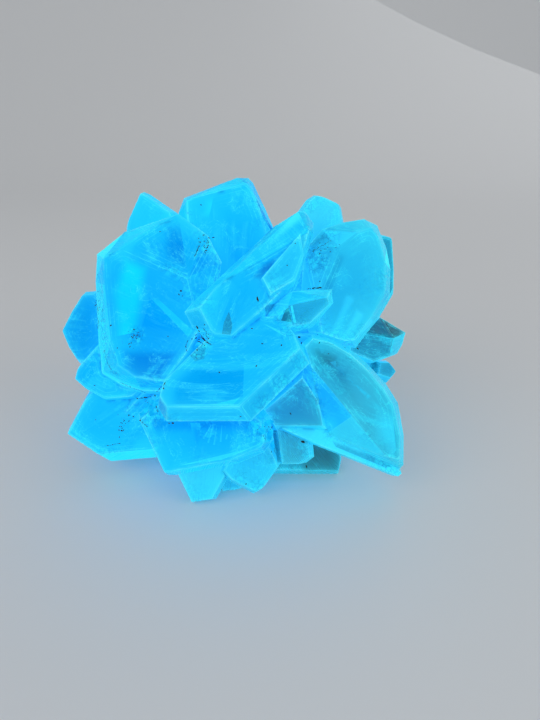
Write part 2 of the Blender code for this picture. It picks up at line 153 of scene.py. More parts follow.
# Blades are darker near the heart, a painted shade where they crowd together: from how far to how far away
# that fades.
ROOT_REACH = (18 * MM, 58 * MM)
GRAINS_PER_METRE = 900.0
CRAZE_PER_METRE = 620.0
JOINTS_PER_METRE = 260.0

# The crystal's gloss.
GYPSUM_IOR = 1.52
GLOSS_LEVEL = 0.05
GLOSS_TINT = (0.12, 0.8, 1.0, 1)
# The emission is a painted glow, standing in for the azure light gypsum gives under ultraviolet light.
GLOW_STRENGTH = 0.56
SMALL_GLOW_STRENGTH = 0.62
BUMP_STRENGTH = 0.22
BUMP_HEIGHT = 0.2 * MM

# Each face that shows in front: a point of it in the picture, its tint, and how clear it is
# where it isn't nearly solid. A tint is the face's own colour with painted light in it: how
# brightly each face glowed at its angle, with most thin rims paler.
NEARLY_SOLID = 0.1
FACE_TINTS = (
    ("big left, side rim above", 97.5, 262, RIM_CYAN),
    ("big left, side rim below", 99.5, 335, RIM_CYAN),
    ("big left, side rim foot", 104, 360, (0.018, 0.7, 1.0)),
    ("big left, curved foot", 120, 382, (0.018, 0.7, 1.0)),
    ("big left, curved foot end", 142, 390, (0.018, 0.68, 1.0)),
    ("peak", 150, 212, SKY),
    ("big left, top", 160, 235, SKY),
    ("big left, middle", 143, 275, SKY),
    ("big left, side rim", 98, 298, (0.02, 0.76, 1.0)),
    ("big left, upper rim", 115, 243, (0.024, 0.92, 1.0)),
    ("big left, inner slope", 203, 265, AZURE),
    ("big left, lower slope", 200, 282, SKY),
    ("top centre", 217, 208, SKY),
    ("top centre, upper rim", 217, 190, CYAN, 0.15),
    ("top centre, right rim", 263, 215, (0.0, 0.25, 0.72)),
    ("diagonal", 250, 265, SKY),
    ("diagonal, upper slope", 283, 228, (0.012, 0.64, 0.98)),
    ("diagonal, root", 193, 318, (0.001, 0.36, 0.8)),
    ("top right", 327, 205, PALE_CYAN, 0.2),
    ("big right", 360, 265, SOFT_CYAN),
    ("big right, dark window", 320, 255, (0.028, 0.53, 0.78), 0.15),
    ("big right, top slope", 333, 235, (0.034, 0.66, 0.94)),
    ("big right, thin rim", 388, 258, BRIGHT_CYAN),
    ("behind the big right", 390, 245, GREY_TEAL, 0.35),
    ("small upper, top", 303, 295, SKY, 0.2),
    ("small upper, front", 310, 305, GREY_BLUE, 0.4),
    ("clear upper, top", 385, 325, (0.006, 0.12, 0.2), 0.3),
    ("clear upper, front", 383, 340, GREY_TEAL, 0.35),
    ("clear upper, tip", 400, 335, DARK_TEAL, 0.15),
    ("clear lower", 388, 368, (0.02, 0.23, 0.33), 0.45),
    ("clear lower, side", 380, 364, DARK_TEAL, 0.55),
    ("front blade", 217, 372, SKY),
    ("front blade, front rim", 200, 413, (0.01, 0.5, 0.9)),
    ("front blade, right rim", 277, 382, (0.01, 0.47, 0.84)),
    ("front blade, corner", 163, 408, (0.004, 0.33, 0.76)),
    ("lower right", 350, 372, DULL_CYAN),
    ("lower right, lower slope", 340, 418, (0.01, 0.47, 0.92)),
    ("lower right, foot", 367, 458, (0.05, 0.72, 0.95), 0.15),
    ("lower right, side", 300, 405, (0.03, 0.33, 0.54), 0.15),
    ("lower front", 210, 442, SKY),
    ("lower front, rim", 210, 467, CYAN, 0.15),
    ("bottom left", 197, 485, PALE_CYAN, 0.25),
    ("bottom right", 250, 478, SOFT_CYAN, 0.3),
    ("lower left", 110, 428, SKY),
    ("lower left, rim", 133, 455, BRIGHT_CYAN, 0.15),
    ("left", 80, 325, (0.001, 0.34, 0.8)),
    ("left second", 103, 382, (0.0, 0.43, 0.95)),
    ("square", 297, 442, GREEN_TEAL, 0.45),
    ("square, side", 278, 440, DARK_TEAL, 0.7),
    ("bottom back", 330, 465, (0.03, 0.13, 0.15), 0.4),
    ("bottom back, edge", 325, 473, GREEN_TEAL, 0.5),
)

# Faces whose fine lines run across the blade instead of out from its root.
CROSSWISE = ("front blade", "front blade, front rim", "front blade, right rim", "diagonal, upper slope",
             "top centre, upper rim", "lower right, foot", "lower front, rim")

# Narrow raised triangles that fan out over the lower front face: their corners in the picture.
FEATHERS = (
    ((212, 424), (202.5, 438), (204.2, 439.5)), ((214, 424), (207, 442.5), (208.9, 443.3)),
    ((217, 424), (213, 445), (215, 445)), ((222, 423.5), (219.5, 442), (221.5, 442)),
    ((230, 423), (225, 439.5), (227, 439.5)),
)
# Facets, windows and ridges inside a face: their corners in the picture, which sides fade out softly,
# over how many millimetres, tint, clearness, and depth as a share of LEDGE_DEPTH. A ridge's depth is
# negative.
FACE_LEDGES = (
    ("bright patch", ((122, 252), (152, 264), (147, 298), (141, 331), (113, 337), (108, 290)),
     (0, 1, 4, 5), 4.5, (0.006, 0.78, 1.0), 0.1, 0.0),
    ("triangle window", ((149, 297), (141, 331), (188, 337)), (1,), 2.5, (0.0, 0.46, 0.96), 0.1, 1.0),
    ("pale sliver", ((149, 297), (188, 337), (193, 331), (156, 297)), (3,), 2.0, CYAN, 0.1, 0.3),
    ("lens window", ((229, 311), (232.5, 325), (230, 338), (224, 347), (220, 344), (224, 322)),
     (), 1.0, GREY_BLUE, 0.3, 1.0),
    ("diagonal crease", ((284, 251), (260, 279), (247, 283), (262, 262)),
     (1, 2, 3), 2.0, (0.0, 0.2, 0.66), 0.1, 1.0),
    ("front blade, deep face", ((172, 377), (196, 359), (244, 359), (243, 396), (214, 404), (168, 404)),
     (0, 1, 5), 3.0, (0.0, 0.41, 0.88), 0.1, 0.5),
    ("front blade, wedge", ((208, 406), (240, 398), (250, 389), (253, 396), (243, 406)),
     (2, 3, 4), 1.0, CYAN, 0.1, 0.0),
    ("rough patch", ((187, 339), (197, 337), (206, 346), (204, 358), (195, 361), (187, 352)),
     (), 1.0, (0.004, 0.28, 0.62), 0.1, 1.0),
    # A painted shadow under the front blade's rim.
    ("lower front, shade", ((150, 419), (250, 419), (246, 434), (158, 436)),
     (2,), 3.5, SHADED_AZURE, 0.1, 0.2),
    ("lower front, deep hollow", ((190, 423), (209, 424), (203, 437), (206, 449), (196, 450)),
     (0, 1, 2, 3, 4), 2.5, (0.001, 0.34, 0.8), 0.1, 0.0),
    *(("lower front, feather", corners, (), 0.5, FEATHER_CYAN, 0.1, -0.3) for corners in FEATHERS),
    ("lower front, long ledge", ((178, 465.5), (232, 452.5), (248, 449), (222, 459.5)),
     (), 0.6, RIDGE_CYAN, 0.1, -0.9),
    ("lower right, grey fan", ((303, 341), (330, 345), (352, 372), (372, 428), (330, 385), (307, 362)),
     (0, 1, 2, 3, 4, 5), 7.0, (0.024, 0.25, 0.41), 0.15, 0.0),
    ("side, striped window", ((272, 401), (296, 381), (319, 421.5), (311, 423)),
     (3,), 3.0, (0.035, 0.34, 0.55), 0.15, 0.5),
    ("small upper, striped triangle", ((265, 304), (281, 305), (266, 317)),
     (), 1.0, (0.008, 0.25, 0.54), 0.1, 0.8),
    ("small upper, pale wedge", ((282, 305.5), (285, 306.5), (277, 321), (265, 319.5)),
     (3,), 1.0, (0.02, 0.62, 0.96), 0.1, 0.0),
    ("front blade, left ridge", ((264, 324), (286.5, 333.5), (285.5, 337)),
     (), 0.5, RIDGE_CYAN, 0.1, -0.8),
    ("small upper, dark window", ((285.5, 309), (290.5, 306), (293.5, 322.5), (281, 320.5)),
     (), 1.0, (0.008, 0.13, 0.27), 0.2, 0.8),
    ("small upper, pale ridge", ((290.5, 306), (292.4, 305.2), (296.4, 322.8), (293.5, 322.5)),
     (), 1.0, (0.03, 0.74, 0.98), 0.1, -0.6),
    ("big left, deep foot", ((118, 345), (184, 348), (168, 384), (140, 388), (118, 372)),
     (0, 1, 3, 4), 4.0, AZURE_DEEP, 0.1, 0.3),
    ("big left, deep shoulder", ((160, 222), (182, 218), (197, 240), (188, 274), (163, 262)),
     (0, 1, 2, 3, 4), 4.0, SHADED_AZURE, 0.1, 0.0),
    ("lower right, root", ((306, 348), (318, 343), (340, 352), (345, 372), (318, 372)),
     (0, 1, 2, 3, 4), 4.0, (0.022, 0.17, 0.28), 0.15, 0.0),
    ("big right, streak", ((328, 338), (334, 342), (357, 298), (346, 292)),
     (0, 1, 2, 3), 1.6, STREAK_CYAN, 0.1, 0.2),
    ("big right, second streak", ((339, 342), (345, 345), (367, 314), (356, 307)),
     (0, 1, 2, 3), 1.6, STREAK_CYAN, 0.1, 0.2),
    ("big right, third streak", ((349, 345), (356, 347), (377, 321), (368, 315)),
     (0, 1, 2, 3), 1.4, STREAK_CYAN, 0.1, 0.2),
    ("big right, shaded root", ((320, 282), (338, 248), (348, 256), (333, 300), (318, 296)),
     (0, 1, 2, 3, 4), 3.0, (0.016, 0.38, 0.64), 0.1, 0.0),
    ("big right, shaded slope", ((305, 243), (322, 231), (336, 236), (312, 249)),
     (0, 1, 2, 3), 2.0, (0.016, 0.32, 0.56), 0.1, 0.0),
    ("lower right, streak", ((330, 362), (372, 396), (369, 401)),
     (0, 1, 2), 0.8, SOFT_CYAN, 0.1, 0.2),
    ("lower right, foot shade", ((332, 440), (378, 456), (393, 466), (386, 468), (336, 447)),
     (0,), 1.2, (0.024, 0.38, 0.62), 0.1, 0.8),
    ("lower right, pale tip", ((372, 400), (392, 408), (396, 450), (388, 462), (368, 440)),
     (0, 3, 4), 6.0, PALE_CYAN, 0.1, 0.0),
    ("diagonal, pale top", ((283, 218), (306, 209), (300, 224), (258, 256)),
     (2, 3), 2.5, (0.06, 0.92, 1.0), 0.1, 0.0),
    ("left second, pale foot", ((86, 395), (130, 385), (135, 402), (112, 405)),
     (0, 1, 3), 4.0, CYAN, 0.1, 0.0),
    ("top centre, pale shoulder", ((203, 196), (214, 194), (208, 222), (198, 217)),
     (0, 2, 3), 4.0, CYAN, 0.1, 0.0),
)

# Clay specks in the joints: their place in the picture and size in millimetres.
CLAY_SPECKS = (
    (197.3, 327.6, 0.6), (199, 331, 0.4), (204.6, 324.7, 0.4), (196, 338, 0.5), (199, 339.5, 0.4),
    (192, 339, 0.35), (181, 291, 0.5), (179, 294.6, 0.3), (182.5, 296, 0.25), (110.8, 325.4, 0.45),
    (97.6, 274.8, 0.3), (160, 231.6, 0.3), (201, 205, 0.35), (209, 238, 0.4), (213.4, 237.4, 0.4),
    (206, 250.6, 0.4), (207, 243, 0.3), (168, 336.4, 0.35), (155, 395.5, 0.4), (160.6, 387, 0.35),
    (163.6, 388.5, 0.4), (219.3, 372.3, 0.4), (94.7, 385.5, 0.3), (319.8, 281.5, 0.35),
    (295.3, 243.4, 0.35), (287.2, 265.4, 0.35), (252, 328.5, 0.4), (262.3, 343.6, 0.4),
    (281.4, 345.3, 0.4), (256.4, 365.9, 0.4), (299, 337, 0.6), (301.5, 343.3, 0.6), (317.6, 334.6, 0.4),
    (357.7, 348.6, 0.5), (128.9, 415.3, 0.4), (124.4, 420.4, 0.35), (121.2, 426.7, 0.35),
    (121.9, 430.8, 0.45), (119.3, 437.2, 0.3), (129, 421, 0.3), (133.3, 416.5, 0.35), (95.7, 419.7, 0.3),
    (172.9, 423.2, 0.5), (169, 423.2, 0.3), (240.5, 416.5, 0.4), (303, 441.8, 0.8), (290.6, 413.7, 0.35),
    (246, 484, 0.35), (271.5, 451.6, 0.4), (117.5, 348, 0.3), (103, 310, 0.3), (101, 296, 0.3),
)
# Clay drawn out along a seam: the points it passes in the picture and its width in millimetres.
CLAY_SEAMS = (
    (((307, 288.8), (313, 288.4), (317, 288.0), (321, 287.2)), 0.42),
    (((136, 398.8), (141, 398.2), (145, 397.3), (151, 396.8)), 0.4),
    (((199, 333), (202, 336), (203.5, 339.5), (208, 342.5), (211, 344.5)), 0.42),
    (((203.5, 328), (206.5, 332), (206, 335.5), (209, 338.5)), 0.3),
    (((198, 341), (202, 343), (205, 345.5)), 0.34),
    (((157, 392), (161, 387), (166, 383.5)), 0.26), (((97, 305), (98.2, 310), (97.8, 315)), 0.36),
    (((97.6, 318), (98.6, 323), (98.2, 329)), 0.28), (((194.5, 256), (197, 251), (198.8, 245.5)), 0.32),
    (((206.5, 249), (209, 244.5), (208, 240)), 0.28), (((257.6, 297.6), (258, 301.6)), 0.5),
    (((305.2, 462.5), (306.6, 467.5)), 0.8), (((108, 445.8), (114, 444.4), (121, 443.2)), 0.24),
    (((139, 418.5), (143, 423), (147, 427)), 0.22), (((150, 401), (156, 406), (157.5, 411)), 0.22),
    (((256.5, 428), (262, 434), (266, 441)), 0.2), (((268, 426), (272, 432), (271, 439)), 0.2),
    (((188, 340), (185.5, 346), (187, 352)), 0.22), (((313, 251), (322, 245.5), (331, 240.5)), 0.2),
    (((104, 350), (107, 362), (112, 371)), 0.18), (((120, 382), (133, 388.5), (146, 392.5)), 0.18),
)
# Pitted patches: the middle in the picture, half width, half height and how many pits.
CLAY_DUST = (
    (136, 335, 9, 4.5, 14), (128, 344, 6, 5, 8), (124, 424, 6, 10, 16), (149, 405, 8, 8, 22),
    (197, 349, 7, 9, 5), (202, 335, 7, 8, 8), (204, 247, 7, 9, 16), (98, 305, 3, 16, 18),
    (325, 250, 14, 12, 16), (268, 430, 7, 8, 14), (345, 352, 30, 8, 6),
)
# The size of dust, and how a seam's pieces lie: how many widths apart, and how far they stray and turn.
DUST_SIZE = 0.22
SEAM_SPACING = 1.9
SEAM_STRAY = 0.25
SEAM_TURN = 0.3
LOWEST_CLAY = 1 * MM
CRUMB_MODELS = 6
CLAY_BLACK = (0.004, 0.004, 0.006, 1)
CLAY_BROWN = (0.035, 0.022, 0.012, 1)
# Etched spots, where the skin is rough with small cells: place in the picture, reach in millimetres
# and how strong.
ETCHED_SPOTS = (
    (101, 292, 4.0, 0.8), (101, 306, 4.0, 1.0), (102, 322, 4.5, 1.0), (104, 338, 4.5, 1.0),
    (106, 356, 4.0, 0.8), (114, 372, 4.0, 0.7), (136, 386, 4.0, 0.5), (150, 408, 5.5, 1.0),
    (143, 421, 4.0, 0.8), (157, 415, 4.0, 0.8), (197, 350, 4.5, 1.0), (205, 341, 4.0, 1.0),
    (136, 335, 4.0, 1.0), (262, 430, 6.0, 1.0), (271, 444, 4.0, 0.9), (253, 421, 4.0, 0.7),
    (310, 245, 6.0, 0.8), (318, 262, 6.0, 0.8), (330, 236, 5.0, 0.7), (302, 327, 4.5, 0.8),
    (288, 332, 4.0, 0.8), (309, 206, 4.0, 0.6), (281, 384, 4.5, 0.7), (262, 404, 4.5, 0.7),
    (300, 362, 4.0, 0.6), (208, 248, 5.0, 0.5), (208, 430, 5.0, 0.5), (390, 466, 6.0, 0.8),
    (375, 459, 6.0, 0.5), (240, 476, 4.0, 0.5), (257, 486, 4.0, 0.6), (306, 450, 5.0, 0.6),
)

# Small crystals between the blades: place in the picture, length, width and thickness in
# millimetres, turn in the picture and lean towards the eye, in degrees.
SMALL_CRYSTALS = (
    (147, 410, 3.4, 1.9, 0.9, 28, 5), (152, 414, 2.8, 1.6, 0.8, -12, 15),
    (142, 415, 2.8, 1.6, 0.8, 62, 10), (156, 406, 2.6, 1.5, 0.8, -48, 5),
    (262, 432, 3.6, 2.0, 0.9, -18, 10), (268, 439, 3.0, 1.7, 0.8, 22, 15),
    (257, 427, 2.8, 1.5, 0.8, -52, 5), (272, 448, 3.2, 1.7, 0.9, 8, 5),
    (265, 424, 2.6, 1.4, 0.7, 70, 10),
)
SMALL_DEEP = (0.002, 0.38, 0.8, 1)
SMALL_BRIGHT = (0.012, 0.62, 0.98, 1)
SMALL_SHADE = (0.6, 0.6, 0.6, 1)

# The studio: the lamps' places, sizes and powers, and the floor that curves up behind.
LAMPS = (
    ("key_light", (-0.6, -0.75, 0.55), 1.1, 2.9),
    ("fill_light", (0.8, -0.45, 0.35), 0.8, 1.5),
    ("back_light", (0.55, 0.95, 0.4), 1.1, 1.2),
)
LAMP_AIM = Vector((0, 0, 0.045))
FLOOR_SIZE = 5
FLOOR_PLACE = (0, -1.2, 0)
BACKDROP_HEIGHT = 2.5
BACKDROP_CURVE = 0.7
FLOOR_TINT = (0.76, 0.77, 0.78, 1)
ROOM_TINT = (0.84, 0.86, 0.88, 1)
ROOM_LIGHT = 0.55


def sight_line(x, y):
    """The direction from the eye through a point of the picture."""
    across = RIGHT * (x - PICTURE_WIDTH / 2)
    return (across + UPWARD * (PICTURE_HEIGHT / 2 - y) + FORWARD * PICTURE_DISTANCE).normalized()


def smooth_step(low, high, value):
    """From 0 below the low value to 1 above the high one, without a corner."""
    share = np.clip((value - low) / (high - low), 0, 1)
    return share * share * (3 - 2 * share)


def select_only(piece):
    bpy.ops.object.select_all(action="DESELECT")
    piece.select_set(True)
    bpy.context.view_layer.objects.active = piece


def edit(piece, kind):
    """Enters edit mode on one piece, to work on its edges or its faces."""
    select_only(piece)
    bpy.ops.object.mode_set(mode="EDIT")
    bpy.ops.mesh.select_mode(type=kind)


def select_where(mesh, kind, chosen):
    """In edit mode, selects only the faces or edges that pass the test."""
    bpy.ops.mesh.select_all(action="DESELECT")
    in_hand = bmesh.from_edit_mesh(mesh)
    for element in getattr(in_hand, kind):
        if chosen(element):
            element.select_set(True)
    bmesh.update_edit_mesh(mesh)


def link(name, mesh):
    piece = bpy.data.objects.new(name, mesh)
    bpy.context.scene.collection.objects.link(piece)
    return piece


def chance_of(angle):
    """A share between 0 and 1 that looks random and is the same in each run."""
    return (math.sin(angle) * 43758.5453) % 1.0


def same_plane(first, second):
    return first.normal.angle(second.normal, 0) < FLAT_ANGLE


def number_facets(in_hand, layer):
    """Gives all faces of one plane that touch each other one number."""
    for face in in_hand.faces:
        face[layer] = 0
    number = 0
    for start in in_hand.faces:
        if start[layer]:
            continue
        number += 1
        start[layer] = number
        waiting = [start]
        while waiting:
            face = waiting.pop()
            for edge in face.edges:
                for other in edge.link_faces:
                    if not other[layer] and same_plane(face, other):
                        other[layer] = number
                        waiting.append(other)


def facet_at(in_hand, x, y):
    """The face of the solid that the picture shows at a point, or None."""
    in_hand.faces.ensure_lookup_table()
    tree = BVHTree.FromBMesh(in_hand)
    _, _, index, _ = tree.ray_cast(EYE, sight_line(x, y))
    return None if index is None else in_hand.faces[index]


def cut_ledge(mesh, corners):
    """Cuts a facet along a ledge's outline, and returns the facet's number and the outline's walls.

    A wall is the plane through the eye and one side of the outline, and points inwards."""
    in_hand = bmesh.from_edit_mesh(mesh)
    x = sum(corner[0] for corner in corners) / len(corners)
    y = sum(corner[1] for corner in corners) / len(corners)
    facet = facet_at(in_hand, x, y)[in_hand.faces.layers.int["facet"]]
    rays = [sight_line(*corner) for corner in corners]
    middle = sight_line(x, y)
    walls = []
    for first, second in zip(rays, rays[1:] + rays[:1]):
        wall = first.cross(second).normalized()
        walls.append(wall if wall.dot(middle) > 0 else -wall)
    for wall in walls:
        in_hand = bmesh.from_edit_mesh(mesh)
        facet_layer = in_hand.faces.layers.int["facet"]
        for face in in_hand.faces:
            face.select_set(face[facet_layer] == facet)
        bmesh.update_edit_mesh(mesh)
        bpy.ops.mesh.bisect(plane_co=EYE, plane_no=wall)
    return facet, walls


def number_ledges(mesh, outlines):
    """Writes on each triangle which ledge it lies in, or 0."""
    in_hand = bmesh.from_edit_mesh(mesh)
    layer = in_hand.faces.layers.int.new("ledge")
    facet_layer = in_hand.faces.layers.int["facet"]
    for face in in_hand.faces:
        sight = face.calc_center_median() - EYE
        for number, (facet, walls) in enumerate(outlines, 1):
            if face[facet_layer] == facet and all(wall.dot(sight) > 0 for wall in walls):
                face[layer] = number
    bmesh.update_edit_mesh(mesh)


def even_out(mesh):
    """Turns diagonals for rounder triangles, and keeps the ledges' outlines.

    Neighbouring ledges have numbers side by side, so every third one can be done together."""
    for turn in range(4):
        in_hand = bmesh.from_edit_mesh(mesh)
        layer = in_hand.faces.layers.int["ledge"]
        select_where(mesh, "faces", lambda face: (face[layer] % 3 + 1 if face[layer] else 0) == turn)
        bpy.ops.mesh.beautify_fill(angle_limit=FLAT_ANGLE)


def refine(mesh):
    """Halves long edges until the skin is fine enough for ledges and worn rims."""
    for _ in range(MOST_HALVINGS):
        in_hand = bmesh.from_edit_mesh(mesh)
        if max(edge.calc_length() for edge in in_hand.edges) <= LONGEST_EDGE:
            break
        select_where(mesh, "edges", lambda edge: edge.calc_length() > LONGEST_EDGE)
        bpy.ops.mesh.subdivide(number_cuts=1)
        bpy.ops.mesh.select_all(action="SELECT")
        bpy.ops.mesh.quads_convert_to_tris()
        even_out(mesh)


def crystal_skin():
    """The solid's skin as a new piece, with its facets numbered, its ledges cut and its mesh refined."""
    skin = link("gypsum_crystals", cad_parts["gypsum_rosette"].data.copy())
    skin.data.materials.clear()
    edit(skin, "EDGE")
    bpy.ops.mesh.select_all(action="SELECT")
    bpy.ops.mesh.remove_doubles(threshold=SAME_POINT)
    bpy.ops.mesh.dissolve_limited(angle_limit=FLAT_ANGLE)
    bpy.ops.mesh.select_mode(type="FACE")
    in_hand = bmesh.from_edit_mesh(skin.data)
    facet_layer = in_hand.faces.layers.int.new("facet")
    number_facets(in_hand, facet_layer)
    named = {}
    for name, x, y, tint, *clear in FACE_TINTS:
        face = facet_at(in_hand, x, y)
        if face is not None:
            named[face[facet_layer]] = (tint, clear[0] if clear else NEARLY_SOLID, name)
    bmesh.update_edit_mesh(skin.data)
    outlines = [cut_ledge(skin.data, ledge[1]) for ledge in FACE_LEDGES]
    bpy.ops.mesh.select_mode(type="EDGE")
    bpy.ops.mesh.select_all(action="SELECT")
    bpy.ops.mesh.quads_convert_to_tris()
    number_ledges(skin.data, outlines)
    refine(skin.data)
    bpy.ops.object.mode_set(mode="OBJECT")
    return skin, named, outlines


def edge_bends(mesh):
    """For every vertex, its sharpest outward and inward bend, in radians."""
    in_hand = bmesh.new()
    in_hand.from_mesh(mesh)
    outward = np.zeros(len(in_hand.verts))
    inward = np.zeros(len(in_hand.verts))
    for edge in in_hand.edges:
        if len(edge.link_faces) != 2:
            continue
        bend = edge.calc_face_angle_signed()
        side = outward if bend > 0 else inward
        for vertex in edge.verts:
            side[vertex.index] = max(side[vertex.index], abs(bend))
    in_hand.free()
    return outward, inward


def nearest_of(places, chosen):
    """For every place, the distance in millimetres to the nearest chosen one, and which that is."""
    indices = np.nonzero(chosen)[0]
    tree = KDTree(len(indices))
    for index in indices:
        tree.insert(places[index], int(index))
    tree.balance()
    found = [tree.find(place) for place in places]
    return np.array([hit[2] for hit in found]) / MM, np.array([hit[1] for hit in found])


def ledge_share(places, walls, soft_sides, fade):
    """From 0 outside a ledge's soft sides to 1 well inside them."""
    sights = places - np.array(EYE)
    share = np.ones(len(places))
    for side in soft_sides:
        share = np.minimum(share, smooth_step(0, fade, sights @ np.array(walls[side]) / MM))
    return share


def etched_share(tree, places):
    """How strongly each place is etched, from the spots listed above."""
    share = np.zeros(len(places))
    for x, y, reach, strength in ETCHED_SPOTS:
        spot, _ = seen_surface(tree, x, y)
        if spot is not None:
            away = np.linalg.norm(places - np.array(spot), axis=1) / MM
            share = np.maximum(share, strength * (1 - smooth_step(ETCH_CORE * reach, reach, away)))
    return share


def waviness(places, size, seed):
    """Soft hills and hollows of about the size given, around 0."""
    offset = Vector((seed * 7.3, seed * 3.1, seed * 5.7))
    return np.array([noise.noise(Vector(place) / size + offset) for place in places])


def evened(field):
    """The same field around 0.5, with an even spread."""
    return 0.5 + 0.1 * (field - field.mean()) / field.std()


def soft_cells(places):
    """A random value per cell of about 16 mm, with softly blended borders."""
    values = np.empty(len(places))
    for index, (x, y, z) in enumerate(places):
        distances, points = noise.voronoi(Vector((x, y * 0.7, z * 0.8)) * CELLS_PER_METRE)
        shares = [math.exp(-CELL_BLUR * distance) for distance in distances]
        chances = [chance_of(point.x * 12.9898 + point.y * 78.233 + point.z * 37.719) for point in points]
        values[index] = sum(share * chance for share, chance in zip(shares, chances)) / sum(shares)
    return values


def layer_values(mesh, name):
    values = np.zeros(len(mesh.polygons), np.int32)
    mesh.attributes[name].data.foreach_get("value", values)
    return values


def write_layer(mesh, name, values):
    """Stores one number, three numbers or a colour for every vertex or for every corner."""
    width = values.size // len(values)
    kind, field = {1: ("FLOAT", "value"), 3: ("FLOAT_VECTOR", "vector"), 4: ("FLOAT_COLOR", "color")}[width]
    domain = "POINT" if len(values) == len(mesh.vertices) else "CORNER"
    attribute = mesh.attributes.new(name, kind, domain)
    attribute.data.foreach_set(field, np.ascontiguousarray(values, np.float32).ravel())


def read_mesh(mesh):
    """The places of the vertices, and the three vertices of every triangle."""
    places = np.empty(len(mesh.vertices) * 3)
    mesh.vertices.foreach_get("co", places)
    corners = np.empty(len(mesh.loops), np.int32)
    mesh.loops.foreach_get("vertex_index", corners)
    return places.reshape(-1, 3), corners.reshape(-1, 3)


def facet_frames(places, corners, facets):
    """Each facet's middle, its normal and the foot of the heart on its plane."""
    a, b, c = (places[corners[:, k]] for k in range(3))
    cross = np.cross(b - a, c - a)
    double_areas = np.linalg.norm(cross, axis=1)
    normals = cross / np.maximum(double_areas, 1e-15)[:, None]
    areas = double_areas / 2
    centres = (a + b + c) / 3
    count = facets.max() + 1
    total = np.bincount(facets, areas, count)
    total[total == 0] = 1
    middle = np.stack([np.bincount(facets, areas * centres[:, k], count) for k in range(3)], 1)
    middle /= total[:, None]
    normal = np.stack([np.bincount(facets, areas * normals[:, k], count) for k in range(3)], 1)
    length = np.linalg.norm(normal, axis=1)
    length[length == 0] = 1
    normal /= length[:, None]
    heart = np.array(HEART)
    foot = heart - ((heart - middle) * normal).sum(1)[:, None] * normal
    return middle, normal, foot


def tint_of_hidden(middle, number):
    """Faces away from the photograph carry on the tints of the side they belong to."""
    x, _, z = (float(value) / MM for value in middle)
    chance = chance_of(number * 12.9898)
    left = Vector(AZURE).lerp(Vector(CYAN), 0.2 + 0.6 * chance)
    right = Vector(SOFT_CYAN).lerp(Vector(PALE_CYAN), 0.2 + 0.6 * chance)
    tint = left.lerp(right, min(max((x - 5) / 30, 0), 1))
    low = min(max((22 - z) / 16, 0), 1) * (0.35 + 0.65 * chance)
    tint = tint.lerp(Vector(GREEN_TEAL), 0.8 * low)
    return tuple(tint), 0.1 + 0.45 * low


def vertex_normals(count, corners, triangle_normals):
    """For every vertex, the mean direction of the triangles around it."""
    normals = np.zeros((count, 3))
    for k in range(3):
        np.add.at(normals, corners[:, k], triangle_normals)
    return normals / np.maximum(np.linalg.norm(normals, axis=1), 1e-9)[:, None]


def relief(places, corners, ledges, outlines, on_rim, rim_distance, joint_distance, etched):
    """How far every vertex moves along its normal, in metres."""
    edge_distance = np.minimum(rim_distance, joint_distance)
    inside = smooth_step(*PLAIN_RIM, edge_distance)
    chips = np.clip(waviness(places, CHIP_SIZE, 1), 0, 1) ** 1.5
    lift = np.zeros(len(places))
    lift[on_rim] -= (RIM_WEAR + RIM_CHIPS * chips)[on_rim]
    steps = rim_distance / STEP_SPACING + STEP_SWAY * waviness(places, SWELL_SIZE, 2)
    risers = np.floor(steps) + smooth_step(*STEP_RISE, steps - np.floor(steps))
    lift -= inside * STEP_HEIGHT * np.minimum(risers, MOST_STEPS)
    lift += inside * WAVE_HEIGHT * waviness(places, WAVE_SIZE, 3)
    lift -= etched * ETCH_DEPTH * np.clip(waviness(places, ETCH_SIZE, 5) + 0.2, 0, 1)
    for number, (_, _, soft_sides, fade, _, _, depth) in enumerate(FACE_LEDGES, 1):
        within = np.unique(corners[ledges == number])
        within = within[edge_distance[within] > LEDGE_EDGE_GAP]
        _, walls = outlines[number - 1]
        lift[within] -= ledge_share(places[within], walls, soft_sides, fade) * depth * LEDGE_DEPTH
    return lift


def write_tints(mesh, places, corners, facets, ledges, outlines, named, middle):
    """Every face's own tint and clearness, and over them those of its ledges."""
    tints = np.zeros((len(middle), 4))
    clears = np.zeros(len(middle))
    for number in range(1, len(middle)):
        if number in named:
            tint, clear, _ = named[number]
        else:
            tint, clear = tint_of_hidden(middle[number], number)
        tints[number] = (*tint, 1)
        clears[number] = clear
    corner_tint = np.repeat(tints[facets], 3, 0)
    corner_clear = np.repeat(clears[facets], 3)
    corner_ledge = np.repeat(ledges, 3)
    for number, (_, _, soft_sides, fade, tint, clear, _) in enumerate(FACE_LEDGES, 1):
        within = corner_ledge == number
        _, walls = outlines[number - 1]
        share = ledge_share(places[corners.ravel()[within]], walls, soft_sides, fade)
        corner_tint[within] += share[:, None] * (np.array((*tint, 1)) - corner_tint[within])
        corner_clear[within] += share * (clear - corner_clear[within])
    write_layer(mesh, "tint", corner_tint)
    write_layer(mesh, "clear", corner_clear)


def write_streaks(mesh, places, corners, facets, named, middle, normal, foot):
    """Where every corner lies in its facet's fan of growth lines."""
    outwards = middle - foot
    outwards /= np.maximum(np.linalg.norm(outwards, axis=1), 1e-6)[:, None]
    sideways = np.cross(normal, outwards)
    facet = np.repeat(facets, 3)
    layer = np.array([chance_of(number * 78.233) for number in range(len(middle))])[facet] * LINE_LAYERS
    spoke = places[corners.ravel()] - (foot - outwards * FAN_SETBACK)[facet]
    along = (spoke * outwards[facet]).sum(1)
    aside = (spoke * sideways[facet]).sum(1)
    turn = np.arctan2(aside, along)
    reach = np.hypot(aside, along) / MM
    streak = np.stack([turn * FAN_LINES, reach, layer], 1)
    crosswise = np.isin(facet, [number for number in named if named[number][2] in CROSSWISE])
    across, along_blade = CROSS_LINES
    streak[crosswise] = np.stack([reach * across, turn * along_blade, layer], 1)[crosswise]
    write_layer(mesh, "streak", streak)


